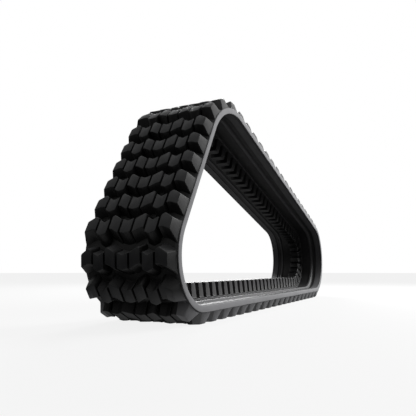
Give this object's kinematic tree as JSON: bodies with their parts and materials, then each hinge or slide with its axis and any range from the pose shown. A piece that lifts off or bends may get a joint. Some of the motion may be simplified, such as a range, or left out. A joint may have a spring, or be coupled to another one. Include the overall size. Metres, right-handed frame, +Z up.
{
  "type": "rubber track",
  "caption": "Endless all-rubber track in a three-cornered loop, with zigzag block tread outside and a central row of drive lugs inside.",
  "frame": {"origin": "middle of the track's box along the ground run and across the belt, on the ground under the tread blocks", "axes": "+X along the ground run from the tight front bend to the rear bend, +Y across the belt, +Z up; the high bend is at the front"},
  "size_m": [2.3933, 0.4, 0.9633],
  "materials": {
    "tread_rubber": "moulded carbon-black rubber, satin, fine mould texture",
    "edge_rubber": "smooth moulded rubber with a pale bloom where the light catches it",
    "inner_rubber": "smooth, slightly glossy moulded rubber of the wheel path",
    "lug_rubber": "hard moulded rubber, satin",
    "gum_rubber": "soft calendered bonding rubber",
    "ply_fabric": "woven polyamide ply coated with rubber",
    "steel_cord": "brass-coated steel cord in ribbons",
    "breaker_cord": "brass-coated steel cord laid on the bias"
  },
  "bodies": {
    "root": {"inner_cover": "inner_rubber", "edge_band_left": "edge_rubber", "edge_band_right": "edge_rubber", "guide_ridge_left": "inner_rubber", "guide_ridge_right": "inner_rubber", "lug_root_strip": "inner_rubber", "drive_lugs": "lug_rubber", "fabric_ply": "ply_fabric", "cushion_lower": "gum_rubber", "cord_ribbons_s_lay": "steel_cord", "cord_ribbons_z_lay": "steel_cord", "cushion_upper": "gum_rubber", "bias_ply_lower": "breaker_cord", "bias_gum_layer": "gum_rubber", "bias_ply_upper": "breaker_cord", "tread_base": "tread_rubber", "centre_blocks": "tread_rubber", "inner_blocks_left": "tread_rubber", "inner_blocks_right": "tread_rubber", "outer_blocks_left": "tread_rubber", "outer_blocks_right": "tread_rubber", "shoulder_blocks_left": "tread_rubber", "shoulder_blocks_right": "tread_rubber"}
  },
  "joints": []
}
